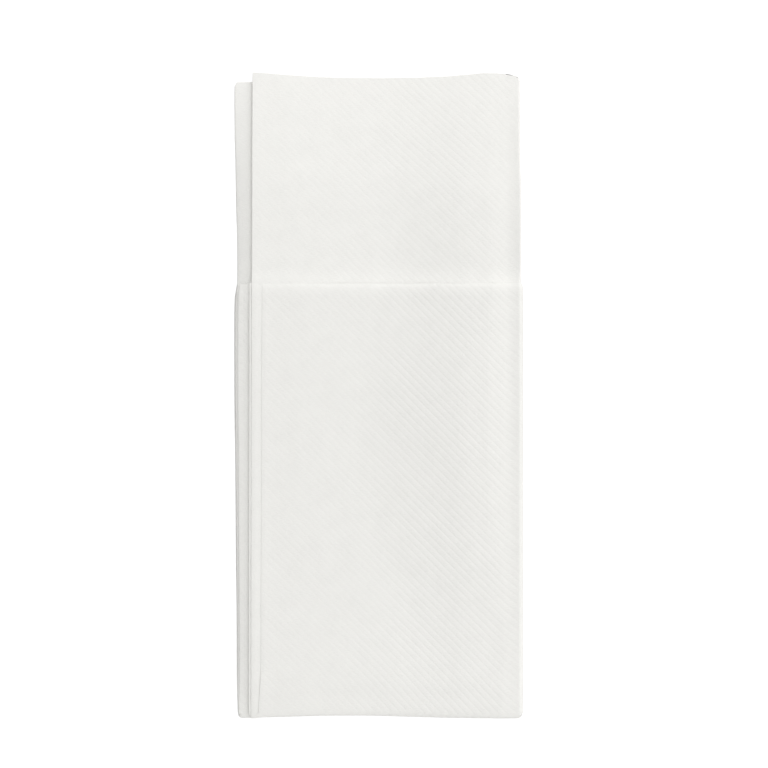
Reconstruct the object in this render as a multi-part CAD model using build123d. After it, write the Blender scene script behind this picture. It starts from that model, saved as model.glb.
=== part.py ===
"""A paper napkin, folded for the table with a pocket for cutlery, lying on its back.

X runs across it, +Y up its length from the closed bottom fold to the cut top edge, +Z out of its front.
One square sheet makes it: its bottom is turned up in front to make the pocket layer, then the sheet is
folded in half behind itself, and in half again. From front to back the panels are first, second, third
and fourth. The pocket layer lies on the front side of each, so it shows on the first and the fourth.
"""

from build123d import *
from collections import namedtuple
import math
import os

# The flat sheet
sheet_side = 400.0
paper_thickness = 0.5
layer_gap = 0.1

# The folds
pocket_height = 160.9
strip_width = 6.35
inner_fold_inset = 6.6
shoulder_radius = 5.0
settle_length = 5.0

# How far the soft folds lie in from the outline's widest place, towards the ends and above the pocket
strip_fold_lean = 1.08
outer_fold_step = 0.85
outer_fold_lean = 0.35

# Where the cut side edges of the layers lie, measured to the right of the first panel's edge
first_edge_lean = 0.75
pocket_edge_low = 2.6
pocket_edge_high = 3.4
second_edge_offset = 0.6
second_pocket_edge = -0.85
edge_turn_height = 2.0

# Drops of the cut top edge from the first panel's corner: in its wave, at the strip's end, at the outer fold
top_wave_depth = 2.2
strip_top_drop = 3.6
outer_top_drop = 1.3

# Heights of the panels' middles above the underside, in layers: first, second, third, fourth
upper_height_shares = (3.5, 2.5, 1.5, 0.5)
pocket_height_shares = (6.5, 5.5, 2.5, 1.5)
# Radius of the outer right fold, in layers, above the pocket and inside its stack
upper_fold_share = 1.0
pocket_fold_share = 1.3
# Where the settling above the pocket is drawn, along its length
settle_shares = (0.25, 0.5, 0.75, 1.0)
# The wave of the first panel's top edge: share of its run from the left corner, share of the wave's depth
top_wave_shares = ((0.18, 0.62), (0.38, 0.95), (0.57, 1.0), (0.74, 0.72), (0.88, 0.35))

# Worked out from the sizes above
pitch = paper_thickness + layer_gap
half_paper = paper_thickness / 2
bend_radius = pitch / 2 + half_paper
pocket_leg = pocket_height - bend_radius
panel_leg = sheet_side - pocket_leg - math.pi * pitch / 2
folded_length = panel_leg + bend_radius

bottom = -folded_length / 2
top = folded_length / 2
pocket_line = bottom + pocket_height

# A cross-section: its Y at the outer fold, slope, share of the pocket's stack, folds and cut side edges
Station = namedtuple("Station", "y slant stacked left right first_edge last_edge")


def mixed(upper, stacked, share):
    """A value between that of the bare upper part and that inside the pocket's stack."""
    return upper + (stacked - upper) * share


def place(station, x, z):
    """A point of a cross-section."""
    return Vector(x, station.y - station.slant * (station.right - x), z)


def bend(station, x, z, radius, start, end):
    """An arc across the stack about the centre x, z, between two directions in degrees from +X towards +Z."""
    angles = [math.radians(angle) for angle in (start, (start + end) / 2, end)]
    points = [place(station, x + radius * math.cos(a), z + radius * math.sin(a)) for a in angles]
    return ThreePointArc(*points)


def fold_line(station, shift):
    """The line across the folded sheet from its first cut edge to its last, moved towards its front side."""
    first, second, third, fourth = [
        mixed(upper, stacked, station.stacked) * pitch - layer_gap / 2
        for upper, stacked in zip(upper_height_shares, pocket_height_shares)
    ]
    left_radius = (third - fourth) / 2
    left_x = station.left + left_radius + half_paper
    outer_radius = mixed(upper_fold_share, pocket_fold_share, station.stacked) * pitch
    outer_x = station.right - outer_radius - half_paper
    outer_z = fourth + outer_radius
    inner_radius = (second - third) / 2
    inner_x = station.right - inner_fold_inset - inner_radius - half_paper
    # Past the inner fold the first panel slopes down to the outer one, along both bends' common tangent
    shoulder_x = station.right - inner_fold_inset
    shoulder_z = first - shoulder_radius
    run, rise = outer_x - shoulder_x, outer_z - shoulder_z
    slope = math.degrees(
        math.atan2(rise, run) + math.acos((shoulder_radius - outer_radius) / math.hypot(run, rise))
    )
    bends = [
        bend(station, shoulder_x, shoulder_z, shoulder_radius + shift, 90, slope),
        bend(station, outer_x, outer_z, outer_radius + shift, slope, -90),
        bend(station, left_x, (third + fourth) / 2, left_radius + shift, 270, 90),
        bend(station, inner_x, (second + third) / 2, inner_radius - shift, -90, 90),
    ]
    ends = [place(station, station.first_edge, first + shift)]
    for arc in bends:
        ends += [arc @ 0, arc @ 1]
    ends += [place(station, station.last_edge, second - shift)]
    runs = [Line(a, b) for a, b in zip(ends[::2], ends[1::2])]
    if station.slant:
        runs[0] = top_wave(ends[1], ends[0])
    edges = [runs[0]]
    for arc, after in zip(bends, runs[1:]):
        edges += [arc, after]
    return edges


def top_wave(shoulder_end, edge_end):
    """The first panel's cut top edge, which rises to the panel's top corner at its own cut side edge."""
    corner_point = Vector(edge_end.X, top, edge_end.Z)
    run = shoulder_end.X - edge_end.X
    crests = [
        Vector(edge_end.X + along * run, top - depth * top_wave_depth, edge_end.Z)
        for along, depth in top_wave_shares
    ]
    return Spline([corner_point, *crests, shoulder_end])


def width_for(sheet_length):
    """The width of the folded napkin, at which the line through all its panels is as long as the sheet."""
    trial = sheet_length / 4
    station = Station(pocket_line, 0, 1, pitch, trial - pitch, strip_width, strip_width + second_edge_offset)
    line_length = sum(edge.length for edge in fold_line(station, 0))
    return trial + (sheet_length - line_length) / 4


width = width_for(sheet_side)
left = -width / 2
right = width / 2


def first_edge_at(y):
    """The first panel's cut side edge, which leans to the right towards the top."""
    return left + strip_width + first_edge_lean * (y - bottom) / folded_length


def sheet_station(y, stacked, left_inset, right_inset):
    """A cross-section of the sheet itself, above its corner turn."""
    edge = first_edge_at(y)
    return Station(y, 0, stacked, left + left_inset, right - right_inset, edge, edge + second_edge_offset)


def pocket_station(sheet, first_edge_shift):
    """The cross-section of the pocket layer that goes with one of the sheet's."""
    return sheet._replace(
        first_edge=sheet.first_edge + first_edge_shift,
        last_edge=sheet.first_edge + second_pocket_edge,
    )


def settled_station(share):
    """A cross-section of the sheet just above the pocket, where it comes down on the layers below."""
    stacked = 1 - share * share * (3 - 2 * share)
    left_inset = mixed(strip_fold_lean, pitch, stacked)
    right_inset = mixed(outer_fold_step, pitch, stacked)
    return sheet_station(pocket_line + settle_length * share, stacked, left_inset, right_inset)


# Cross-sections from the bottom fold up: the sheet and the pocket layer start together there, and then part
low_inset = pitch + strip_fold_lean
turn = bottom + bend_radius + edge_turn_height
corner = pocket_station(sheet_station(bottom + bend_radius, 1, low_inset, pitch), 0)
sheet_turn = sheet_station(turn, 1, low_inset - strip_fold_lean * edge_turn_height / pocket_leg, pitch)
sheet_at_pocket_line = sheet_station(pocket_line, 1, pitch, pitch)
sheet_at_top = sheet_station(top - outer_top_drop, 0, 0, outer_fold_step + outer_fold_lean)
sheet_at_top = sheet_at_top._replace(slant=(strip_top_drop - outer_top_drop) / width)

sheet_stations = [corner, sheet_turn, sheet_at_pocket_line]
sheet_stations += [settled_station(share) for share in settle_shares]
sheet_stations += [sheet_at_top]
pocket_stations = [
    corner,
    pocket_station(sheet_turn, pocket_edge_low),
    pocket_station(sheet_at_pocket_line, pocket_edge_high),
]


def ruled(edges, other_edges):
    """The strips of surface between two lines with as many edges."""
    return [
        Face.make_surface_from_curves(edge.edge(), other.edge())
        for edge, other in zip(edges, other_edges)
    ]


def make_layer(stations, middle):
    """One layer of paper through all its folds, its middle that far in front of the sheet's own."""
    fronts = [fold_line(station, middle + half_paper) for station in stations]
    backs = [fold_line(station, middle - half_paper) for station in stations]
    skin = ruled(fronts[0], backs[0]) + ruled(fronts[-1], backs[-1])
    for low in range(len(stations) - 1):
        high = low + 1
        skin += ruled(fronts[low], fronts[high]) + ruled(backs[low], backs[high])
        for end, side in ((0, 0), (-1, 1)):
            cut_edges = [Line(fronts[k][end] @ side, backs[k][end] @ side) for k in (low, high)]
            skin += ruled(cut_edges[:1], cut_edges[1:])
    return Solid(Shell(skin))


def make_bottom_fold():
    """The turn that joins the sheet to its pocket layer, led along each run and bend of the panels."""
    outer = CenterArc((0, 0), bend_radius, 90, 180)
    inner = CenterArc((0, 0), layer_gap / 2, 90, 180)
    ring = make_face([outer, inner, Line(outer @ 0, inner @ 0), Line(outer @ 1, inner @ 1)])
    return [
        sweep(Plane(origin=edge @ 0, x_dir=(0, 1, 0), z_dir=edge % 0) * ring, path=edge)
        for edge in fold_line(corner, pitch / 2)
    ]


napkin = make_layer(sheet_stations, 0) + [make_layer(pocket_stations, pitch), *make_bottom_fold()]

os.makedirs("parts", exist_ok=True)
export_step(napkin, "parts/napkin.step")
print(f"{width:.2f} wide, {folded_length:.2f} long, {len(napkin.solids())} solid, volume {napkin.volume:.0f}")
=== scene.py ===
"""A folded paper napkin with a pocket for cutlery, lying on its back.

One square sheet makes it: its bottom is turned up in front to make the pocket, then it is folded in half
behind itself, and in half again. The sheet is made flat, divided along its embossed lines, and a node tree
then presses the lines in and folds it. Its flat coordinates are u, across from the first panel's cut edge to
the second panel's, and q, down from the top edge over the bottom crease to the pocket's edge.
"""

import math

import bpy
import numpy as np
from bpy.props import FloatProperty, FloatVectorProperty, IntProperty, PointerProperty
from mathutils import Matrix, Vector


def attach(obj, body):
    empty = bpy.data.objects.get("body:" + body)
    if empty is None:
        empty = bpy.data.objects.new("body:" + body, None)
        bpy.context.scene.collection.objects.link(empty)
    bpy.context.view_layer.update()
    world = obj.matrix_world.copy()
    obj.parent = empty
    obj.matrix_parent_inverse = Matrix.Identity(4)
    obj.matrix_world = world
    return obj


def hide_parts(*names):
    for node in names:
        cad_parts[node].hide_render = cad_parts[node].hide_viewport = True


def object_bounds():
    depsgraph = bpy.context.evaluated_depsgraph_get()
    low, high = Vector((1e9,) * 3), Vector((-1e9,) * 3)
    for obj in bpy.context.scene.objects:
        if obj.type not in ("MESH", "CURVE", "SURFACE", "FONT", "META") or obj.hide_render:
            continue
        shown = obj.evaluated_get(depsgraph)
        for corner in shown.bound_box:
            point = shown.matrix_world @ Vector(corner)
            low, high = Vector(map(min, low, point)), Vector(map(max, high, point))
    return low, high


bl_info = {
    "name": "Folded paper napkin",
    "version": (1, 0, 0),
    "blender": (4, 5, 0),
    "location": "3D View > Sidebar > Napkin",
    "description": "Folds a square of embossed paper into a napkin with a cutlery pocket",
    "category": "Object",
}

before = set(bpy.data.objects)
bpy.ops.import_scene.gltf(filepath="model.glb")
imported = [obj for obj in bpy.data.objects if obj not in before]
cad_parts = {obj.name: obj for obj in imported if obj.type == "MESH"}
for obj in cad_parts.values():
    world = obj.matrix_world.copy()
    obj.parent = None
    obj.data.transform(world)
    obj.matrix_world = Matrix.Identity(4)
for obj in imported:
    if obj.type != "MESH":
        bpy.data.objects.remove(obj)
cad_low, cad_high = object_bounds()
MM = 0.001


def length(name, description, default):
    """A setting that is a length."""
    return FloatProperty(name=name, description=description, default=default, unit="LENGTH")


class NapkinSheet(bpy.types.PropertyGroup):
    """The sheet and how it is folded."""

    side: length("Sheet side", "Side of the square sheet", 400 * MM)
    thickness: length("Paper", "Thickness of the paper", 0.5 * MM)
    pitch: length("Layer pitch", "One layer of paper and the air over it", 0.6 * MM)
    pocket_height: length("Pocket height", "From the bottom fold up to the pocket's edge", 160.9 * MM)
    strip_width: length("Strip width", "What shows of the third panel beside the first one", 6.75 * MM)
    edge_lean: length("Edge lean", "How far the first panel's edge leans right at the top", 0.4 * MM)
    pocket_edge_low: length(
        "Pocket edge, low", "The pocket's side edge from the panel's, at the bottom fold", 3.55 * MM)
    pocket_edge_high: length(
        "Pocket edge, high", "The pocket's side edge from the panel's, at the pocket's edge", 3.75 * MM)
    second_edge: length(
        "Second edge", "How far the second panel's edge lies under the first panel", 0.6 * MM)
    second_pocket_edge: length(
        "Second pocket edge", "How far the second panel's pocket shows past the first panel", 0.85 * MM)
    settle_length: length("Settle length", "Over which the layers come down above the pocket", 8 * MM)


class NapkinRelief(bpy.types.PropertyGroup):
    """The soft forms and the embossing of the paper."""

    lines: IntProperty(
        name="Embossed lines", description="Embossed lines of each slant that cross one side of the sheet",
        default=131)
    depth: length("Embossing depth", "Depth of the embossed lines", 0.08 * MM)
    ridge_height: length("Ridge height", "Height of the soft ridge beside the outer fold", 3.6 * MM)
    puff: length("Puff", "How far the upper layers stand off the lower ones", 2.1 * MM)
    waves: length("Waves", "Height of the paper's gentle unevenness", 0.25 * MM)
    shoulder_drop: length("Shoulder drop", "How far the first panel comes down to the outer fold", 0.5 * MM)
    seed: IntProperty(name="Seed", description="Picks the unevenness", default=7)


class NapkinFinish(bpy.types.PropertyGroup):
    """The paper's colour and grain."""

    colour: FloatVectorProperty(
        name="Paper colour", description="Colour of the paper", default=(0.86, 0.855, 0.825), size=3, min=0,
        max=1, subtype="COLOR")
    roughness: FloatProperty(
        name="Roughness", description="Roughness of the paper", default=0.92, min=0, max=1, subtype="FACTOR")
    fibre: length("Fibre", "Length of the fibres in the paper", 1.4 * MM)
    grain: length("Grain", "How far the fibres stand out", 0.035 * MM)
    line_depth: length("Line depth", "Depth of the sharp bottoms of the embossed lines", 0.06 * MM)


class NapkinStage(bpy.types.PropertyGroup):
    """The floor, the lights and the camera."""

    ambient: FloatProperty(
        name="Room light", description="Strength of the light from all round", default=0.34)
    key: FloatProperty(
        name="Main light", description="Strength of the main light, from the upper right", default=2.65)
    softness: FloatProperty(
        name="Softness", description="How wide the main light is, as seen from the napkin",
        default=math.radians(150), unit="ROTATION")
    fill: FloatProperty(
        name="Top light", description="Power of the lamp past the top edge", default=0.07, unit="POWER")
    low_fill: FloatProperty(
        name="Low light", description="Power of the lamp past the bottom fold", default=0.035, unit="POWER")
    lens: FloatProperty(
        name="Lens", description="Focal length of the camera", default=120, unit="CAMERA")
    field: length("Field", "Width of the view at the napkin", 285.1 * MM)


def setting_names(settings):
    """Names of a group's own settings."""
    return [name for name in settings.bl_rna.properties.keys() if name not in ("rna_type", "name")]


class Number:
    """A number in a node tree. Sums and products of such numbers add the Math nodes that they need."""

    def __init__(self, socket):
        self.socket = socket
        self.tree = socket.id_data

    def math(self, operation, *others):
        node = self.tree.nodes.new("ShaderNodeMath")
        node.operation = operation
        for slot, number in zip(node.inputs, (self, *others)):
            put(number, slot)
        return Number(node.outputs[0])

    def __add__(self, other):
        return self.math("ADD", other)

    __radd__ = __add__

    def __sub__(self, other):
        return self.math("SUBTRACT", other)

    def __mul__(self, other):
        return self.math("MULTIPLY", other)

    def __truediv__(self, other):
        return self.math("DIVIDE", other)

    def __neg__(self):
        return self * -1

    def from_one(self):
        """One less this number."""
        return -self + 1

    def share(self, low, high, smooth=True):
        """How far the number has gone from low to high, from 0 to 1."""
        node = self.tree.nodes.new("ShaderNodeMapRange")
        node.interpolation_type = "SMOOTHSTEP" if smooth else "LINEAR"
        for name, number in {"Value": self, "From Min": low, "From Max": high}.items():
            put(number, node.inputs[name])
        return Number(node.outputs["Result"])

    def mixed(self, low, high):
        """Low where this number is 0 and high where it is 1."""
        node = self.tree.nodes.new("ShaderNodeMix")
        put(self, node.inputs[0])
        put(low, node.inputs[2])
        put(high, node.inputs[3])
        return Number(node.outputs[0])

    def along_curve(self, shares):
        """The height of a curve through the given points, which run from 0 to 1 both ways."""
        node = self.tree.nodes.new("ShaderNodeFloatCurve")
        points = node.mapping.curves[0].points
        while len(points) < len(shares):
            points.new(0.5, 0.5)
        for point, place in zip(points, shares):
            point.location = place
        node.mapping.update()
        put(self, node.inputs["Value"])
        return Number(node.outputs["Value"])


def put(number, slot):
    """Feeds a node's socket from a number in the tree, or sets it to a plain one."""
    if isinstance(number, Number):
        number.tree.links.new(number.socket, slot)
    else:
        slot.default_value = number


def new_group(name, kind, inputs, outputs):
    """A node group with number sockets. Returns it with its inputs by name and its output node."""
    tree = bpy.data.node_groups.new(name, kind)
    for names, in_out in ((inputs, "INPUT"), (outputs, "OUTPUT")):
        for socket, socket_type in names.items():
            tree.interface.new_socket(name=socket, in_out=in_out, socket_type=socket_type)
    entry = tree.nodes.new("NodeGroupInput")
    leave = tree.nodes.new("NodeGroupOutput")
    numbers = {name: Number(entry.outputs[name]) for name in inputs}
    return tree, numbers, leave


def use_group(tree, group, **numbers):
    """A copy of a group in a tree, with its inputs fed by name. Returns its outputs by name."""
    kind = "GeometryNodeGroup" if tree.bl_idname == "GeometryNodeTree" else "ShaderNodeGroup"
    node = tree.nodes.new(kind)
    node.node_tree = group
    for name, number in numbers.items():
        put(number, node.inputs[name.replace("_", " ").capitalize()])
    return {output.name: Number(output) for output in node.outputs}


def add_object(name, data):
    """A new object in the scene."""
    added = bpy.data.objects.new(name, data)
    bpy.context.scene.collection.objects.link(added)
    return added


def new_material(name, roughness, specular):
    """A plain material. Returns it with its node tree and its shader's inputs."""
    material = bpy.data.materials.new(name)
    material.use_nodes = True
    slots = material.node_tree.nodes["Principled BSDF"].inputs
    slots["Roughness"].default_value = roughness
    slots["Specular IOR Level"].default_value = specular
    return material, material.node_tree, slots


def parts_of(tree, vector):
    """The three numbers of a vector."""
    node = tree.nodes.new("ShaderNodeSeparateXYZ")
    tree.links.new(vector, node.inputs[0])
    return [Number(output) for output in node.outputs]


def make_noise(tree, place, scale, detail, dimensions):
    """Noise from 0 to 1, in a plane or in space."""
    noise = tree.nodes.new("ShaderNodeTexNoise")
    noise.noise_dimensions = dimensions
    noise.inputs["Detail"].default_value = detail
    noise.inputs["Scale"].default_value = scale
    tree.links.new(place, noise.inputs["Vector"])
    return Number(noise.outputs[0])


# How a tree's nodes are laid out
NODES_IN_COLUMN = 8
COLUMN_SPACING = 220
ROW_SPACING = 180


def tidy_nodes(tree):
    """Lays a tree's nodes out in columns, in the order in which they were made."""
    for index, node in enumerate(tree.nodes):
        column, row = divmod(index, NODES_IN_COLUMN)
        node.location = (column * COLUMN_SPACING, -row * ROW_SPACING)


FLOAT = "NodeSocketFloat"


def make_fold_group():
    """Folds what lies past a crease over by half a turn, on to the upper side (1) or the lower one (-1)."""
    names = dict.fromkeys(("Along", "Height", "Crease", "Radius", "Side"), FLOAT)
    results = dict.fromkeys(("Along", "Height"), FLOAT)
    tree, numbers, leave = new_group("Fold over", "GeometryNodeTree", names, results)
    along, height, crease, radius, side = numbers.values()
    arc = radius * math.pi
    start = crease - arc / 2
    past = along - start
    turn = past.share(0, arc, smooth=False) * math.pi
    reach = radius - side * height
    beyond = (past - arc).math("MAXIMUM", 0)
    put(start + past.math("MINIMUM", 0) + reach * turn.math("SINE") - beyond, leave.inputs["Along"])
    put(side * (radius - reach * turn.math("COSINE")), leave.inputs["Height"])
    tidy_nodes(tree)
    return tree


# Heights of the four panels' middles above the floor, in layers, above the pocket and inside its stack
UPPER_HEIGHT_SHARES = (3.5, 2.5, 1.5, 0.5)
POCKET_HEIGHT_SHARES = (6.5, 5.5, 2.5, 1.5)


def creases(sheet):
    """Where the creases lie in the flat sheet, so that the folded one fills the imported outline."""
    half = sheet.thickness / 2
    turn = sheet.pitch / 2
    bottom = cad_high.y - cad_low.y - half - turn + math.pi * turn / 2
    tall = [share * sheet.pitch for share in POCKET_HEIGHT_SHARES]
    outer_radius = (tall[0] - tall[3]) / 2
    left_radius = (tall[2] - tall[3]) / 2
    outside = sheet.pitch + half
    first_edge = cad_low.x + sheet.strip_width
    outer = cad_high.x - first_edge - outer_radius - outside + math.pi * outer_radius / 2
    left = first_edge + 2 * outer + math.pi * left_radius / 2 - left_radius - outside - cad_low.x
    inner = (sheet.side + sheet.second_edge) / 2 - outer + left
    return {"Bottom crease": bottom, "Outer crease": outer, "Left crease": left, "Inner crease": inner}


# The flat sheet is divided into this many squares for each embossed line
SQUARES_PER_LINE = 4
# On the back and the strip, and where the sheet is hidden, one line in this many is kept
MIDDLING_STEP = 2
COARSE_STEP = 16
# Round each crease: how far extra lines are put in, and into how many parts they divide a square
TIGHT_PLACES = {
    "Outer crease": (2.4 * MM, 2),
    "Left crease": (0.5 * MM, 4),
    "Inner crease": (1.4 * MM, 2),
    "Bottom crease": (0.5 * MM, 4),
}
# Every line is kept from this far before a place to this far past it
BEND_RUNS = {
    "First edge": (0, 5 * MM),
    "Last edge": (4 * MM, 0),
    "Outer crease": (2.4 * MM, 2.4 * MM),
    "Left crease": (1 * MM, 1 * MM),
    "Inner crease": (1.5 * MM, 1.5 * MM),
}
RAMP_RUNS = {
    "Top edge": (0, 0.2 * MM),
    "Pocket edge": (0.2 * MM, 0),
    "Pocket line": (10 * MM, 2 * MM),
    "Bottom crease": (1 * MM, 6 * MM),
}
# How far past the outer crease, the left one and the pocket's edge the sheet counts as showing
FRONT_MARGIN = 3 * MM
STRIP_MARGIN = 8 * MM
COVERED_MARGIN = 0.5 * MM
# How far before the bottom crease the pocket layer's outer face starts to show
NOSE_MARGIN = 1 * MM
# A line this far inside the cut edges keeps them crisp
EDGE_SUPPORT = 0.15 * MM
# How finely places are told apart, in digits of a metre and as a distance
PLACE_DIGITS = 9
SAME_PLACE = 1e-9
# How far a line may be from one of the kept steps, in steps
SAME_STEP_SHARE = 1e-4


def lattice(sheet, relief, places):
    """Lines across the sheet: four to each embossed line, and more through each tight place."""
    step = sheet.side / relief.lines / SQUARES_PER_LINE
    lines = {round(k * step, PLACE_DIGITS) for k in range(relief.lines * SQUARES_PER_LINE + 1)}
    for place, reach, parts in places:
        low = math.floor((place - reach) / step)
        high = math.ceil((place + reach) / step)
        for k in range(low, high):
            lines |= {round((k + part / parts) * step, PLACE_DIGITS) for part in range(1, parts)}
    lines |= {EDGE_SUPPORT, round(sheet.side - EDGE_SUPPORT, PLACE_DIGITS)}
    return np.array(sorted(lines)), step


def picked(lines, step, low, high, every, finer):
    """Numbers of the lines that an area uses: one in every so many, and all those in the finer runs."""
    chosen = []
    for k, place in enumerate(lines):
        steps = place / step / every
        on_step = abs(steps - round(steps)) < SAME_STEP_SHARE
        runs = (*finer, (low, low), (high, high))
        inside = any(a - SAME_PLACE <= place <= b + SAME_PLACE for a, b in runs)
        if low - SAME_PLACE <= place <= high + SAME_PLACE and (on_step or inside):
            chosen.append(k)
    return chosen


def sheet_areas(sheet, places, step):
    """Areas of the paper's upper (1) and lower (-1) face: run across, run down, and one line in how many."""

    def snapped(place, up):
        """The nearest whole number of line pitches below or above a place."""
        rounded = math.ceil if up else math.floor
        return rounded(place / step / SQUARES_PER_LINE) * SQUARES_PER_LINE * step

    side = sheet.side
    front = snapped(places["Outer crease"] + FRONT_MARGIN, True)
    back = snapped(places["Left crease"] + STRIP_MARGIN, True)
    covered = snapped(places["Bottom crease"] - sheet.pocket_height + COVERED_MARGIN, True)
    nose = snapped(places["Bottom crease"] - NOSE_MARGIN, False)
    areas = {
        1: [
            ((0, front), (0, covered), 1),
            ((front, back), (0, covered), MIDDLING_STEP),
            ((back, side), (0, covered), COARSE_STEP),
            ((0, side), (covered, side), COARSE_STEP),
        ],
        -1: [
            ((0, side), (0, nose), COARSE_STEP),
            ((0, front), (nose, side), 1),
            ((front, back), (nose, side), MIDDLING_STEP),
            ((back, side), (nose, side), COARSE_STEP),
        ],
    }
    return areas, covered


def make_flat_sheet(sheet, relief):
    """The flat sheet as a thin closed slab, fine where it will show and coarse where it will be hidden."""
    places = creases(sheet)
    tight = {name: (places[name], *TIGHT_PLACES[name]) for name in TIGHT_PLACES}
    tight_down = tight.pop("Bottom crease")
    u, step = lattice(sheet, relief, tight.values())
    q, _ = lattice(sheet, relief, [tight_down])
    areas, covered = sheet_areas(sheet, places, step)
    ends = {"First edge": 0, "Last edge": sheet.side, "Top edge": 0, "Pocket edge": sheet.side}
    places = {**places, **ends, "Pocket line": covered}
    bends, ramps = [
        [(places[name] - before, places[name] + after) for name, (before, after) in runs.items()]
        for runs in (BEND_RUNS, RAMP_RUNS)
    ]
    points, faces, number = [], [], {}
    for face in areas:
        grids = []
        for across, down, every in areas[face]:
            columns = picked(u, step, *across, every, bends)
            rows = picked(q, step, *down, every, ramps)
            grids.append((columns, rows))
            for i in columns:
                for j in rows:
                    if (face, i, j) not in number:
                        number[face, i, j] = len(points)
                        points.append((u[i], -q[j], face * sheet.thickness / 2))
        for columns, rows in grids:
            faces += make_grid(face, columns, rows, number, points, step)
    faces += make_rim(number, points, u, q)
    mesh = bpy.data.meshes.new("napkin")
    mesh.from_pydata(points, [], faces)
    mark_sheet(mesh, np.array(points), sheet)
    mesh.validate()
    print("flat sheet:", len(points), "points,", sum(len(f) - 2 for f in faces), "triangles")
    return mesh


def make_grid(face, columns, rows, number, points, step):
    """The faces of one area, whose sides take in the points of a finer area beside it."""
    faces = []
    for i, i2 in zip(columns, columns[1:]):
        for j, j2 in zip(rows, rows[1:]):
            walk = [(k, j) for k in range(i, i2)] + [(i2, k) for k in range(j, j2)]
            walk += [(k, j2) for k in range(i2, i, -1)] + [(i, k) for k in range(j2, j, -1)]
            loop = [number[face, a, b] for a, b in walk if (face, a, b) in number]
            if face > 0:
                loop.reverse()
            faces += cut_along_lines(loop, points, step) if len(loop) == 4 else [loop]
    return faces


def cut_along_lines(loop, points, step):
    """Two triangles in place of a square, parted along the embossed line that crosses it."""
    a, c = points[loop[0]], points[loop[2]]
    size = abs(c[0] - a[0])
    lines_away = (a[0] - a[1] + c[0] - c[1]) / 2 / step / SQUARES_PER_LINE
    on_falling = abs(lines_away - round(lines_away)) * SQUARES_PER_LINE * step < size / 4
    slope = (c[0] - a[0]) * (c[1] - a[1])
    first = (0, 1, 2), (2, 3, 0)
    second = (1, 2, 3), (3, 0, 1)
    along = second if (slope > 0) == on_falling else first
    return [[loop[k] for k in corners] for corners in along]


# How far the cut edges bulge out: at the sides and the top, and at the pocket's edge
CUT_BULGE = 0.12 * MM
POCKET_CUT_BULGE = 0.32 * MM
# How far the tip of the pocket's cut edge lies off the middle of the paper, towards the panel
POCKET_CUT_DROOP = 0.2 * MM


def make_rim(number, points, u, q):
    """The cut edge all round the sheet: two slopes between its two faces, which meet at a tip."""
    last_u, last_q = len(u) - 1, len(q) - 1
    walks = (
        [(i, 0) for i in range(last_u + 1)],
        [(last_u, j) for j in range(last_q + 1)],
        [(i, last_q) for i in range(last_u, -1, -1)],
        [(0, j) for j in range(last_q, -1, -1)],
    )
    faces, tip = [], {}
    for walk in walks:
        for i, j in walk:
            if (1, i, j) in number and (-1, i, j) in number and (i, j) not in tip:
                bulge = POCKET_CUT_BULGE if j == last_q else CUT_BULGE
                out_x = ((i == last_u) - (i == 0)) * bulge
                out_y = ((j == 0) - (j == last_q)) * bulge
                tip[i, j] = len(points)
                points.append((u[i] + out_x, -q[j] + out_y, POCKET_CUT_DROOP if j == last_q else 0))
    for walk in walks:
        joints = [k for k, place in enumerate(walk) if place in tip]
        for a, b in zip(joints, joints[1:]):
            for face in (1, -1):
                edge = [number[face, i, j] for i, j in walk[a:b + 1] if (face, i, j) in number]
                loop = edge + [tip[walk[b]], tip[walk[a]]]
                faces.append(loop if face > 0 else loop[::-1])
    return faces


# Each face takes this share of the UV map's width, the upper face left, the lower one right
UV_SHARE = 0.49
# Points nearer the middle of the paper than this share of its half thickness are tips of the cut edge
TIP_SHARE = 0.98


def mark_sheet(mesh, place, sheet):
    """Gives the sheet its UV map, and marks the tips of its cut edges as sharp."""
    corner = np.zeros(len(mesh.loops), int)
    mesh.loops.foreach_get("vertex_index", corner)
    uv = mesh.uv_layers.new(name="Sheet")
    flat = np.stack([place[:, 0], place[:, 1] + sheet.side], 1) / sheet.side * UV_SHARE
    flat[:, 0] += np.where(place[:, 2] < 0, 1 - UV_SHARE, 0)
    uv.data.foreach_set("uv", flat[corner].astype(np.float32).ravel())
    ends = np.zeros(len(mesh.edges) * 2, int)
    mesh.edges.foreach_get("vertices", ends)
    at_tip = np.abs(place[:, 2]) < sheet.thickness / 2 * TIP_SHARE
    sharp = mesh.attributes.new("sharp_edge", "BOOLEAN", "EDGE")
    sharp.data.foreach_set("value", at_tip[ends.reshape(-1, 2)].all(axis=1))


# The embossed lines are strong up to the first distance from the outer crease and faint past the second
FADE_RUN = (30 * MM, 80 * MM)
# They are flattened to this share up to the first distance from the outer crease, and whole past the second
FLATTENED_SHARE = 0.4
FLAT_RUN = (2 * MM, 16 * MM)
# How strong they are on the upper face, which shows on the panels, and on the lower one, on the pocket
UPPER_FACE_SHARE = 0.7
LOWER_FACE_SHARE = 1.1


def line_strength(u, lower_face, outer_crease, depth_shares):
    """How strong the embossed lines are, with their depths near the outer crease and far from it."""
    from_outer = (u - outer_crease).math("ABSOLUTE")
    fading = from_outer.share(*FADE_RUN).mixed(*depth_shares)
    flattened = from_outer.share(*FLAT_RUN).mixed(FLATTENED_SHARE, 1)
    return fading * flattened * lower_face.mixed(UPPER_FACE_SHARE, LOWER_FACE_SHARE)


def deeper_line(u, q, lower_face, line_pitch, shallow_share, profile):
    """The deeper of two families of slanting lines, each shallow on the face where the other is deep."""
    lines = []
    for slant, deep_face in ((u - q, lower_face.from_one()), (u + q, lower_face)):
        from_line = (slant / line_pitch).math("PINGPONG", 0.5)
        lines.append(profile(from_line) * deep_face.mixed(shallow_share, 1))
    return lines[0].math("MAXIMUM", lines[1])


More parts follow.
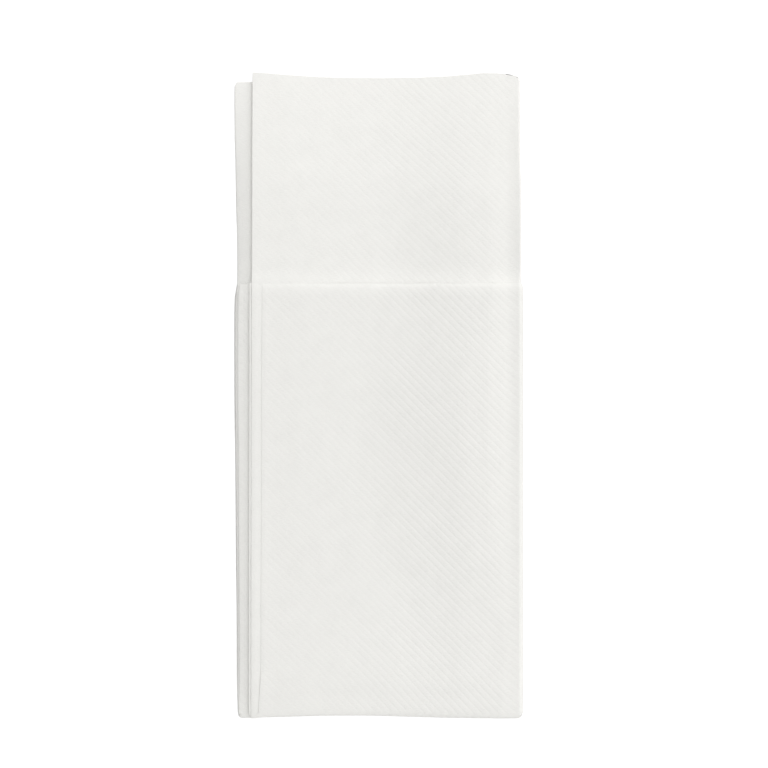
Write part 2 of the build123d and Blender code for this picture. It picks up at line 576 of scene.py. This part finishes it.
# The form of the embossed lines: how sharply they narrow, and how shallow they are on the other face
GROOVE_POWER = 3
SHALLOW_GROOVE_SHARE = 0.6
# Their depth near the outer crease and far from it, as shares of the embossing depth
GROOVE_DEPTH_SHARES = (1.42, 0.66)


def groove(from_line):
    """A groove that narrows to its line: 1 on the line and 0 half a pitch from it."""
    return (from_line * -2 + 1).math("POWER", GROOVE_POWER)


# Where the turn at the bottom crease takes the cut side edges from the panel's place to the pocket's
EDGE_TURN = (0.4 * MM, 1.6 * MM)
# Over this run past the bottom crease the gap between the two edges is narrower, by up to this share
NARROW_RUN = (1 * MM, 20 * MM)
NARROW_SHARE = 0.25
# The paper is thinner near its cut sides: within the two distances, by these shares of the thinning
CUT_THINNINGS = ((1 * MM, 0.25), (16 * MM, 0.75))
CUT_THICKNESS_SHARE = 0.33
# Above the second panel's pocket layer the first panel's cut edge droops, and that layer's own edge rises
DROOP_RUN = 0.9 * MM
EDGE_DROOP = 0.12 * MM
LIFT_RUN = 1.6 * MM
EDGE_LIFT = 0.5 * MM
# The pocket's cut edge is pressed thin over this run: the shares of its thickness and of the air that go
POCKET_PRESS_RUN = 1.1 * MM
POCKET_PRESS_SHARE = 0.96
POCKET_AIR_SHARE = 0.85
# How the layers come down above the pocket: 1 for a straight slope, more for one that eases out
SETTLE_POWER = 3
# Between these distances from the outer fold the first panel comes down, above the pocket by this share
SHOULDER_RUN = (8.5 * MM, 0.5 * MM)
UPPER_SHOULDER_SHARE = 0.35
# Layers over the strip are pressed thinner, by a share that fades out over this run from the left fold
STRIP_PRESS_RUN = (8 * MM, 60 * MM)
STRIP_PRESS_SHARE = 0.4
# The stack is pressed thinner over this run below the pocket's edge
STACK_PRESS_RUN = 5 * MM
STACK_PRESS_SHARE = 0.15

# How far the folds lie in from the widest outline: share of the height, share of the largest inset
LARGEST_INSET = 1.15 * MM
STRIP_FOLD_SHARES = (
    (0, 1), (0.11, 1), (0.26, 0.74), (0.42, 0.5), (0.5, 0.27), (0.63, 0.27), (0.66, 0.64), (0.68, 1),
    (0.7, 1), (0.79, 0.62), (0.88, 0.3), (0.96, 0.03), (1, 0.03))
OUTER_FOLD_SHARES = ((0, 0), (0.66, 0), (0.672, 0.2), (0.682, 0.64), (0.8, 0.64), (0.9, 0.95), (1, 0.95))
# Above the pocket's stack the outer fold lies this much further out than its curve says
UPPER_OUTSET = 0.1 * MM
# How much of the strip moves with the left fold, and the run of distances that moves with the outer one
STRIP_MOVE_SHARE = 0.85
OUTER_MOVE_RUN = (10 * MM, 0)
# The outline's corners, and how wide a band their rounding moves
BOTTOM_CORNER_RADIUS = 2.2 * MM
TOP_CORNER_RADIUS = 1.4 * MM
CORNER_RUN = 3 * MM
# The two soft folds are tighter than half circles: over these runs, by these shares of the distance
LEFT_TIGHT_RUN = 4 * MM
LEFT_TIGHT_SHARE = 0.6
RIGHT_TIGHT_RUN = 7 * MM
RIGHT_TIGHT_SHARE = 0.5

# The first panel's top edge: share of the way to the outer fold, share of the wave's depth
TOP_WAVE_DEPTH = 2.2 * MM
TOP_WAVE_SHARES = (
    (0, 0.03), (0.034, 0.11), (0.107, 0.39), (0.181, 0.66), (0.291, 0.91), (0.401, 1), (0.549, 0.99),
    (0.696, 0.8), (0.806, 0.38), (0.88, 0.2), (0.94, 0.36), (0.96, 0.52), (0.98, 0.8), (1, 1))
# The other panels' top edges slant from the outer fold down to the strip
OUTER_TOP_DROP = 1.5 * MM
STRIP_TOP_DROP = 3.6 * MM
# The bottom fold: share of the width, share of how far it bows up
BOTTOM_BOW = 1.2 * MM
BOTTOM_BOW_SHARES = (
    (0, 0.2), (0.05, 0.06), (0.09, 0.33), (0.2, 0.65), (0.42, 1), (0.58, 0.75), (0.72, 0.42), (0.86, 0.28),
    (1, 0.25))
# How far from the top edge and the bottom fold the paper moves with them
END_MOVE_RUN = 60 * MM

# The soft ridge: share of the height, share of how high it is
RIDGE_SHARES = (
    (0, 0.32), (0.13, 0.47), (0.26, 0.68), (0.4, 0.88), (0.52, 1), (0.72, 1), (0.85, 0.72), (0.95, 0.46),
    (1, 0.25))
# The middle of its slope: share of the height, share of the furthest distance from the outer fold
RIDGE_REACH = 40 * MM
RIDGE_PLACE_SHARES = ((0, 0.44), (0.15, 0.5), (0.3, 0.85), (0.5, 0.91), (0.7, 0.7), (0.85, 0.7), (1, 0.6))
RIDGE_SLOPE_REACH = 25 * MM
# Between these distances from the outer fold the ridge sinks a little, and then rises again
RIDGE_SINK_RUN = (14 * MM, 5 * MM)
RIDGE_RISE_RUN = (6 * MM, 0)
RIDGE_SINK_SHARE = 0.2
# How far the layers are puffed up: share of the height, share of the puff
PUFF_SHARES = (
    (0, 0.24), (0.03, 0.6), (0.08, 0.8), (0.62, 0.8), (0.7, 1), (0.8, 1), (0.87, 0.7), (0.95, 0.34), (1, 0))
# Between these distances from the outer fold the puff goes down by this share
PUFF_SINK_RUN = (25 * MM, 10 * MM)
PUFF_SINK_SHARE = 0.3
# How much the soft forms lift the first, fourth, third and second panel, in the order of the sheet
PANEL_LIFT_SHARES = (1, 0, 0.92, 0.96)
# The unevenness: how fine it is, for each metre, and how much finer noise is in it
WAVE_SCALE = 28
WAVE_DETAIL = 1

SIZES = (
    "Side", "Thickness", "Pitch", "Bottom crease", "Outer crease", "Left crease", "Inner crease", "Top",
    "Bottom", "Left", "Right", "Pocket height", "Strip width", "Edge lean", "Pocket edge low",
    "Pocket edge high", "Pocket edge end", "Settle length", "Line pitch", "Depth", "Ridge height", "Puff",
    "Waves", "Shoulder drop", "Seed")


class NapkinRule:
    """The rule by which the flat sheet becomes the napkin, as a node tree that is made step by step."""

    def __init__(self):
        outputs = {"Geometry": "NodeSocketGeometry"}
        inputs = {**outputs, "Material": "NodeSocketMaterial", **dict.fromkeys(SIZES, FLOAT)}
        self.tree, self.sizes, self.leave = new_group("Fold the napkin", "GeometryNodeTree", inputs, outputs)
        self.fold = make_fold_group()
        position = self.tree.nodes.new("GeometryNodeInputPosition")
        self.u, up, self.height = parts_of(self.tree, position.outputs[0])
        self.q = -up
        self.emboss()
        self.turn_up_pocket()
        self.fold_across()
        self.press_layers()
        place = (self.outline_x(), self.outline_y(), self.raised_z())
        self.finish(place)

    def emboss(self):
        """Each face of the paper is pressed in along two families of slanting lines."""
        s = self.sizes
        lower_face = self.height.math("GREATER_THAN", 0).from_one()
        lines = deeper_line(self.u, self.q, lower_face, s["Line pitch"], SHALLOW_GROOVE_SHARE, groove)
        strength = line_strength(self.u, lower_face, s["Outer crease"], GROOVE_DEPTH_SHARES)
        self.height = self.height - self.height.math("SIGN") * lines * strength * s["Depth"]

    def turn_up_pocket(self):
        """Turns the pocket up over the bottom crease, with its side edges beside the panels'."""
        s, u, q = self.sizes, self.u, self.q
        past = q - s["Bottom crease"]
        turned = past.share(*EDGE_TURN)
        across = u / s["Side"]
        narrowed = past.share(*NARROW_RUN).from_one() * across.from_one() * NARROW_SHARE
        parting = turned * narrowed.from_one()
        risen = past.share(0, s["Pocket height"], smooth=False)
        from_edge = u.math("MINIMUM", s["Side"] - u)
        from_cut = sum(from_edge.share(0, reach) * share for reach, share in CUT_THINNINGS)
        droop = u.share(0, DROOP_RUN).from_one() * turned.from_one() * EDGE_DROOP
        lift = (s["Side"] - u).share(0, LIFT_RUN).from_one() * turned * EDGE_LIFT
        self.edge_lift = lift - droop
        first_shift = risen.mixed(s["Pocket edge low"], s["Pocket edge high"])
        pocket_shift = across.mixed(first_shift, s["Pocket edge end"])

        down = use_group(
            self.tree, self.fold, along=q, height=self.height, crease=s["Bottom crease"],
            radius=s["Pitch"] / 2, side=1)
        self.y = s["Top"] - down["Along"]
        self.rise = (self.y - s["Bottom"]) / (s["Top"] - s["Bottom"])
        thinned = (s["Side"] - q).share(0, POCKET_PRESS_RUN).from_one()
        self.gap = s["Pitch"] - s["Thickness"]
        height = down["Height"]
        above_panel = height - self.gap - s["Thickness"] / 2
        height = height - thinned * (above_panel * POCKET_PRESS_SHARE + self.gap * POCKET_AIR_SHARE)
        self.height = height * from_cut.mixed(CUT_THICKNESS_SHARE, 1)
        # Both cut side edges lean to the right towards the top, and both lie along the first panel's left
        leaning = across.mixed(1, -1) * s["Edge lean"] * self.rise
        self.u = u + parting * pocket_shift + leaning

    def panel_height(self, panel):
        """The height of a panel's middle, which comes down above the pocket."""
        upper, tall = UPPER_HEIGHT_SHARES, POCKET_HEIGHT_SHARES
        return self.stacked.mixed(upper[panel], tall[panel]) * self.sizes["Pitch"]

    def fold_radius(self, a, b):
        """The radius of the fold between two panels, half the distance between their middles."""
        upper, tall = UPPER_HEIGHT_SHARES, POCKET_HEIGHT_SHARES
        return self.stacked.mixed((upper[a] - upper[b]) / 2, (tall[a] - tall[b]) / 2) * self.sizes["Pitch"]

    def near_outer(self, run):
        """From 0 at the first of two distances from the outer fold to 1 at the second."""
        return self.x.share(self.sizes["Right"] - run[0], self.sizes["Right"] - run[1])

    def fold_across(self):
        """Folds the sheet in half behind itself, and in half again."""
        s = self.sizes
        self.above = self.y - (s["Bottom"] + s["Pocket height"])
        settling = self.above.share(0, s["Settle length"], smooth=False).from_one()
        self.stacked = settling.math("POWER", SETTLE_POWER)
        self.folds = (
            ("Inner crease", self.fold_radius(1, 2), 1),
            ("Left crease", self.fold_radius(2, 3), -1),
            ("Outer crease", self.fold_radius(0, 3), -1),
        )
        folded = {"Along": self.u, "Height": self.height}
        for crease, radius, side in self.folds:
            folded = use_group(
                self.tree, self.fold, along=folded["Along"], height=folded["Height"], crease=s[crease],
                radius=radius, side=side)
        self.first_edge = s["Left"] + s["Strip width"]
        self.middle = self.panel_height(0) - self.gap / 2
        self.x = self.first_edge + folded["Along"]
        self.z = self.middle + folded["Height"]

    def press_layers(self):
        """Presses the layers together at the outer fold, over the strip and at the pocket's edge."""
        s, x, z, stacked = self.sizes, self.x, self.z, self.stacked
        low = self.panel_height(3) + s["Thickness"] / 2
        high = self.middle - s["Thickness"] / 2
        shoulder = self.near_outer(SHOULDER_RUN) * stacked.mixed(UPPER_SHOULDER_SHARE, 1)
        z = z - shoulder * z.share(low, high, smooth=False) * s["Shoulder drop"]
        strip_top = s["Pitch"] * (POCKET_HEIGHT_SHARES[2] + 1) - self.gap / 2 + s["Thickness"] / 2
        lifted = z + self.edge_lift * stacked
        over_strip = (lifted - strip_top).math("MAXIMUM", 0)
        start, end = STRIP_PRESS_RUN
        pressed_left = x.share(s["Left"] + start, s["Left"] + end).from_one()
        z = lifted - over_strip * pressed_left * stacked * STRIP_PRESS_SHARE
        near_edge = self.above.share(-STACK_PRESS_RUN, 0, smooth=False)
        self.z = z * (near_edge * near_edge * stacked * -STACK_PRESS_SHARE + 1)

    def outline_x(self):
        """The place across, with the side outline's small departures from a straight one."""
        s, x, rise = self.sizes, self.x, self.rise
        at_left = x.share(s["Left"], s["Left"] + s["Strip width"] * STRIP_MOVE_SHARE).from_one()
        at_right = self.near_outer(OUTER_MOVE_RUN)
        left_inset = rise.along_curve(STRIP_FOLD_SHARES) * LARGEST_INSET
        outset = self.stacked.from_one() * UPPER_OUTSET
        right_inset = rise.along_curve(OUTER_FOLD_SHARES) * LARGEST_INSET - outset
        corner_radius = rise.math("GREATER_THAN", 0.5).mixed(BOTTOM_CORNER_RADIUS, TOP_CORNER_RADIUS)
        nearest_end = (self.y - s["Bottom"]).math("MINIMUM", self.q.math("ABSOLUTE"))
        into_corner = (nearest_end / corner_radius).math("MINIMUM", 1).from_one()
        round_off = (into_corner * into_corner).from_one().math("SQRT").from_one() * corner_radius
        far_left = x.share(s["Left"], s["Left"] + CORNER_RUN).from_one()
        far_right = self.near_outer((CORNER_RUN, 0))
        from_left = (x - s["Left"]).math("MAXIMUM", 0)
        from_right = (s["Right"] - x).math("MAXIMUM", 0)
        tighter_left = from_left * from_left.share(0, LEFT_TIGHT_RUN).from_one() * LEFT_TIGHT_SHARE
        tighter_right = from_right * from_right.share(0, RIGHT_TIGHT_RUN).from_one() * RIGHT_TIGHT_SHARE
        moved = x + at_left * left_inset - at_right * right_inset + (far_left - far_right) * round_off
        return moved + (tighter_right - tighter_left)

    def outline_y(self):
        """The place along, with the wave and slant of the cut top edge and the bow of the bottom fold."""
        s, x = self.sizes, self.x
        width = s["Right"] - s["Left"]
        first_panel = self.u.math("LESS_THAN", s["Outer crease"])
        over = (x - self.first_edge) / (s["Right"] - self.first_edge)
        slanted = ((s["Right"] - x) / width).mixed(OUTER_TOP_DROP, STRIP_TOP_DROP)
        drop = first_panel.mixed(slanted, over.along_curve(TOP_WAVE_SHARES) * TOP_WAVE_DEPTH)
        near_top = self.q.share(0, END_MOVE_RUN).from_one()
        near_bottom = (self.y - s["Bottom"]).share(0, END_MOVE_RUN).from_one()
        bow = ((x - s["Left"]) / width).along_curve(BOTTOM_BOW_SHARES) * BOTTOM_BOW
        return self.y - near_top * drop + near_bottom * bow

    def raised_z(self):
        """The height with the soft forms, which leave the back panel on the floor."""
        s, x = self.sizes, self.x
        changes = []
        shares = PANEL_LIFT_SHARES
        for (crease, radius, _), low, high in zip(self.folds[::-1], shares, shares[1:]):
            turned_over = ((self.u - s[crease]) / (radius * math.pi) + 0.5).share(0, 1)
            changes.append(turned_over * (high - low))
        lifted = sum(changes, shares[0])
        ridge_middle = s["Right"] - self.rise.along_curve(RIDGE_PLACE_SHARES) * RIDGE_REACH
        ridge_up = x.share(ridge_middle - RIDGE_SLOPE_REACH, ridge_middle + RIDGE_SLOPE_REACH)
        sunk = self.near_outer(RIDGE_RISE_RUN) - self.near_outer(RIDGE_SINK_RUN)
        ridge_along = self.rise.along_curve(RIDGE_SHARES) * s["Ridge height"]
        ridge = ridge_up * (sunk * RIDGE_SINK_SHARE + 1) * ridge_along
        puff_sunk = self.near_outer(PUFF_SINK_RUN) * -PUFF_SINK_SHARE + 1
        to_crest = x.share(s["Left"], self.first_edge, smooth=False).from_one()
        swell = ((to_crest + to_crest * to_crest) / 2).from_one()
        puffed = self.rise.along_curve(PUFF_SHARES) * swell * puff_sunk * s["Puff"]
        return self.z + lifted * (ridge + puffed + self.unevenness())

    def unevenness(self):
        """Gentle waves up and down across the napkin."""
        place = self.joined(self.x, self.y, self.sizes["Seed"])
        noise = make_noise(self.tree, place, WAVE_SCALE, WAVE_DETAIL, "3D")
        return (noise - 0.5) * self.sizes["Waves"] * 2

    def joined(self, *numbers):
        """A vector of three numbers, as a socket."""
        node = self.tree.nodes.new("ShaderNodeCombineXYZ")
        for number, slot in zip(numbers, node.inputs):
            put(number, slot)
        return node.outputs[0]

    def finish(self, place):
        """Moves the points there, and makes the result a smooth mesh of its material."""
        tree, s = self.tree, self.sizes
        moved = tree.nodes.new("GeometryNodeSetPosition")
        smooth = tree.nodes.new("GeometryNodeSetShadeSmooth")
        realized = tree.nodes.new("GeometryNodeRealizeInstances")
        finished = tree.nodes.new("GeometryNodeSetMaterial")
        geometry = s["Geometry"].socket
        for node in (moved, smooth, realized, finished):
            tree.links.new(geometry, node.inputs["Geometry"])
            geometry = node.outputs[0]
        tree.links.new(self.joined(*place), moved.inputs["Position"])
        tree.links.new(s["Material"].socket, finished.inputs["Material"])
        tree.links.new(geometry, self.leave.inputs["Geometry"])
        tidy_nodes(tree)


# The layers of fibres: which way each runs, in radians, and where its pattern starts
FIBRE_LAYERS = ((0.4, 0), (1.5, 11), (2.6, 23), (3.4, 37))
# How many times as long as wide the fibres are, and how ragged
FIBRE_SLIMNESS = 7
FIBRE_DETAIL = 2
# How strongly the fibres must cross to stand out, from not at all to fully
TANGLE_RANGE = (0.9, 1.4)
# Pale and dark clouds in the paper: their fineness for each fibre's length, their raggedness and strength
CLOUD_SCALE = 0.22
CLOUD_DETAIL = 3
CLOUD_STRENGTH = 0.3


def make_grain_group():
    """Fibres that lie in all directions: how high they stand, and how pale the paper is."""
    tree, numbers, leave = new_group(
        "Paper fibres", "ShaderNodeTree", {"Place": "NodeSocketVector", "Fibre": FLOAT},
        dict.fromkeys(("Height", "Tone"), FLOAT))
    place, fibre = numbers.values()
    scaled = tree.nodes.new("ShaderNodeVectorMath")
    scaled.operation = "DIVIDE"
    tree.links.new(place.socket, scaled.inputs[0])
    tree.links.new(fibre.socket, scaled.inputs[1])
    layers = []
    for turn, start in FIBRE_LAYERS:
        mapping = tree.nodes.new("ShaderNodeMapping")
        mapping.inputs["Rotation"].default_value = (0, 0, turn)
        mapping.inputs["Location"].default_value = (start, start, 0)
        mapping.inputs["Scale"].default_value = (1, FIBRE_SLIMNESS, 1)
        tree.links.new(scaled.outputs[0], mapping.inputs["Vector"])
        layers.append(make_noise(tree, mapping.outputs[0], 1, FIBRE_DETAIL, "2D"))
    first, second, third, fourth = layers
    tangle = first.math("MAXIMUM", second) + third.math("MAXIMUM", fourth)
    cloud = make_noise(tree, scaled.outputs[0], CLOUD_SCALE, CLOUD_DETAIL, "2D")
    put(tangle.share(*TANGLE_RANGE, smooth=False), leave.inputs["Height"])
    put(tangle / 2 + (cloud - 0.5) * CLOUD_STRENGTH, leave.inputs["Tone"])
    tidy_nodes(tree)
    return tree


# The sharp bottoms of the embossed lines: their half width in pitches, and their share on the other face
CREASE_WIDTH_SHARE = 0.22
SHALLOW_CREASE_SHARE = 0.55
# Their depth near the outer crease and far from it, as shares of the line depth
CREASE_DEPTH_SHARES = (0.71, 0.27)


def sharp_bottom(from_line):
    """A sharp valley: 1 on its line and 0 at its half width."""
    return from_line.share(0, CREASE_WIDTH_SHARE, smooth=False).from_one()


def make_lines_group():
    """The sharp bottoms of the embossed lines, on the side of the paper where each family is deep."""
    names = dict.fromkeys(("Across", "Down", "Lower face", "Line pitch", "Outer crease"), FLOAT)
    tree, numbers, leave = new_group("Embossed lines", "ShaderNodeTree", names, {"Depth": FLOAT})
    u, q, lower_face, line_pitch, outer_crease = numbers.values()
    lines = deeper_line(u, q, lower_face, line_pitch, SHALLOW_CREASE_SHARE, sharp_bottom)
    strength = line_strength(u, lower_face, outer_crease, CREASE_DEPTH_SHARES)
    put(lines * strength, leave.inputs["Depth"])
    tidy_nodes(tree)
    return tree


# How much of the light the paper mirrors
PAPER_SPECULAR = 0.25
# The paper's darkest and palest tint, as shares of its colour, and the tones at which it has them
DARK_SHARE = 0.98
PALE_SHARE = 1.015
TONE_RANGE = (0.4, 0.65)


def make_paper(sheet, relief, finish):
    """White airlaid paper: dull, faintly warm, with sharp embossed lines and a tangle of fibres on it."""
    material, tree, slots = new_material("white airlaid paper", finish.roughness, PAPER_SPECULAR)
    uv = tree.nodes.new("ShaderNodeUVMap")
    uv.uv_map = "Sheet"
    real = tree.nodes.new("ShaderNodeVectorMath")
    real.operation = "SCALE"
    real.inputs["Scale"].default_value = sheet.side / UV_SHARE
    tree.links.new(uv.outputs[0], real.inputs[0])
    grain = tree.nodes.new("ShaderNodeGroup")
    grain.node_tree = make_grain_group()
    tree.links.new(real.outputs[0], grain.inputs["Place"])
    grain.inputs["Fibre"].default_value = finish.fibre
    height, tone = Number(grain.outputs["Height"]), Number(grain.outputs["Tone"])
    along, up, _ = parts_of(tree, real.outputs[0])
    lower_face = along.math("GREATER_THAN", sheet.side)
    lines = use_group(
        tree, make_lines_group(), across=along - lower_face * (sheet.side * (1 / UV_SHARE - 1)),
        down=-up + sheet.side, lower_face=lower_face, line_pitch=sheet.side / relief.lines,
        outer_crease=creases(sheet)["Outer crease"])
    bump = tree.nodes.new("ShaderNodeBump")
    bump.inputs["Distance"].default_value = 1 * MM
    bump.inputs["Strength"].default_value = 1
    put(height * (finish.grain / MM) - lines["Depth"] * (finish.line_depth / MM), bump.inputs["Height"])
    tree.links.new(bump.outputs[0], slots["Normal"])
    tint = tree.nodes.new("ShaderNodeMix")
    tint.data_type = "RGBA"
    for name, share in (("A", DARK_SHARE), ("B", PALE_SHARE)):
        tint.inputs[name].default_value = (*[channel * share for channel in finish.colour], 1)
    put(tone.share(*TONE_RANGE), tint.inputs["Factor"])
    tree.links.new(tint.outputs["Result"], slots["Base Color"])
    tidy_nodes(tree)
    return material


class FoldNapkin(bpy.types.Operator):
    """Makes the flat sheet, folds it into the napkin and gives it its paper"""

    bl_idname = "napkin.fold"
    bl_label = "Fold the napkin"

    def execute(self, context):
        scene = context.scene
        sheet, relief = scene.napkin_sheet, scene.napkin_relief
        paper = make_paper(sheet, relief, scene.napkin_finish)
        flat = add_object("flat sheet", make_flat_sheet(sheet, relief))
        tree = NapkinRule().tree
        values = {
            "Material": paper, **creases(sheet), "Top": cad_high.y, "Bottom": cad_low.y, "Left": cad_low.x,
            "Right": cad_high.x, "Pocket edge end": sheet.second_edge + sheet.second_pocket_edge,
            "Line pitch": sheet.side / relief.lines}
        for settings in (sheet, relief):
            for name in setting_names(settings):
                values[name.replace("_", " ").capitalize()] = float(getattr(settings, name))
        modifier = flat.modifiers.new("Fold the napkin", "NODES")
        modifier.node_group = tree
        for item in tree.interface.items_tree:
            if item.name in values and item.in_out == "INPUT":
                modifier[item.identifier] = values[item.name]
        folded = flat.evaluated_get(context.evaluated_depsgraph_get())
        mesh = bpy.data.meshes.new_from_object(folded)
        bpy.data.objects.remove(flat)
        mesh.name = "napkin_sheet"
        piece = add_object("napkin_sheet", mesh)
        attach(piece, "root")
        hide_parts("napkin")
        return {"FINISHED"}


# Where the main light comes from, and the places and width of the two lamps
MAIN_LIGHT_FROM = (1.7, 1.0, 1.6)
TOP_LAMP_PLACE = (-30 * MM, 270 * MM, 170 * MM)
LOW_LAMP_PLACE = (0, -270 * MM, 170 * MM)
LAMP_WIDTH = 150 * MM
# The floor: its reach, how far it lies below the napkin, its grey and its glow to the camera
FLOOR_REACH = 3000 * MM
FLOOR_DROP = 0.1 * MM
FLOOR_GREY = 0.8
FLOOR_GLOW = 0.5
# The camera's sensor in millimetres, and the middle of its view on the napkin
SENSOR_WIDTH = 36
VIEW_X = 2.13 * MM
VIEW_Y = 4.16 * MM
WHITE = (1, 1, 1, 1)


def add_lamp(name, kind, power, width, place):
    """A lamp that faces the napkin: a square one of that width, or a sun as wide as that angle."""
    data = bpy.data.lights.new(name, kind)
    data.energy = power
    if kind == "SUN":
        data.angle = width
    else:
        data.size = width
    lamp = add_object(name, data)
    lamp.location = place
    lamp.rotation_euler = (-Vector(place)).to_track_quat("-Z", "Y").to_euler()


def seen_directly(tree):
    """One where a surface is seen by the camera, in a gloss or through glass, and nought elsewhere."""
    path = tree.nodes.new("ShaderNodeLightPath")
    rays = [Number(path.outputs[f"Is {kind} Ray"]) for kind in ("Camera", "Glossy", "Transmission")]
    return rays[0].math("MAXIMUM", rays[1]).math("MAXIMUM", rays[2])


def make_floor_paper():
    """White floor that looks white to the camera and still shows a shadow."""
    material, tree, slots = new_material("white floor", 1, 0)
    slots["Base Color"].default_value = (FLOOR_GREY, FLOOR_GREY, FLOOR_GREY, 1)
    slots["Emission Color"].default_value = WHITE
    put(seen_directly(tree) * FLOOR_GLOW, slots["Emission Strength"])
    tidy_nodes(tree)
    return material


def lay_floor():
    """The floor under the napkin."""
    mesh = bpy.data.meshes.new("floor")
    signs = ((-1, -1), (1, -1), (1, 1), (-1, 1))
    corners = [(x * FLOOR_REACH, y * FLOOR_REACH, -FLOOR_DROP) for x, y in signs]
    mesh.from_pydata(corners, [], [(0, 1, 2, 3)])
    mesh.materials.append(make_floor_paper())
    floor = add_object("floor", mesh)


def light_room(scene, strength):
    """Even light from all round, which looks white to the camera."""
    world = bpy.data.worlds.new("white room")
    scene.world = world
    world.use_nodes = True
    background = world.node_tree.nodes["Background"]
    background.inputs["Color"].default_value = WHITE
    put(seen_directly(world.node_tree).mixed(strength, 1.0), background.inputs["Strength"])


def set_camera(scene, lens, field):
    """A camera that looks straight down, with the given width of view at the napkin."""
    data = bpy.data.cameras.new("camera")
    data.lens = lens
    data.sensor_width = SENSOR_WIDTH
    camera = add_object("camera", data)
    camera.location = (VIEW_X, VIEW_Y, field / 2 / math.tan(data.angle / 2))
    scene.camera = camera


class SetStage(bpy.types.Operator):
    """Lays the floor, hangs the lamps and sets the camera over the napkin"""

    bl_idname = "napkin.stage"
    bl_label = "Set the stage"

    def execute(self, context):
        scene = context.scene
        stage = scene.napkin_stage
        lay_floor()
        light_room(scene, stage.ambient)
        add_lamp("main light", "SUN", stage.key, stage.softness, MAIN_LIGHT_FROM)
        add_lamp("top lamp", "AREA", stage.fill, LAMP_WIDTH, TOP_LAMP_PLACE)
        add_lamp("low lamp", "AREA", stage.low_fill, LAMP_WIDTH, LOW_LAMP_PLACE)
        set_camera(scene, stage.lens, stage.field)
        scene.view_settings.view_transform = "Standard"
        return {"FINISHED"}


class NapkinPanel(bpy.types.Panel):
    """Lists the napkin's settings in the 3D view's sidebar."""

    bl_idname = "NAPKIN_PT_settings"
    bl_label = "Paper napkin"
    bl_space_type = "VIEW_3D"
    bl_region_type = "UI"
    bl_category = "Napkin"

    def draw(self, context):
        for group in GROUPS:
            settings = getattr(context.scene, group)
            box = self.layout.box()
            for name in setting_names(settings):
                box.prop(settings, name)
        for operator in (FoldNapkin, SetStage):
            self.layout.operator(operator.bl_idname)


GROUPS = {
    "napkin_sheet": NapkinSheet,
    "napkin_relief": NapkinRelief,
    "napkin_finish": NapkinFinish,
    "napkin_stage": NapkinStage,
}
CLASSES = (*GROUPS.values(), FoldNapkin, SetStage, NapkinPanel)


def register():
    for each in CLASSES:
        bpy.utils.register_class(each)
    for name, group in GROUPS.items():
        setattr(bpy.types.Scene, name, PointerProperty(type=group))


def unregister():
    for name in GROUPS:
        delattr(bpy.types.Scene, name)
    for each in reversed(CLASSES):
        bpy.utils.unregister_class(each)


def main():
    register()
    bpy.ops.napkin.fold()
    bpy.ops.napkin.stage()


if __name__ == "__main__":
    main()
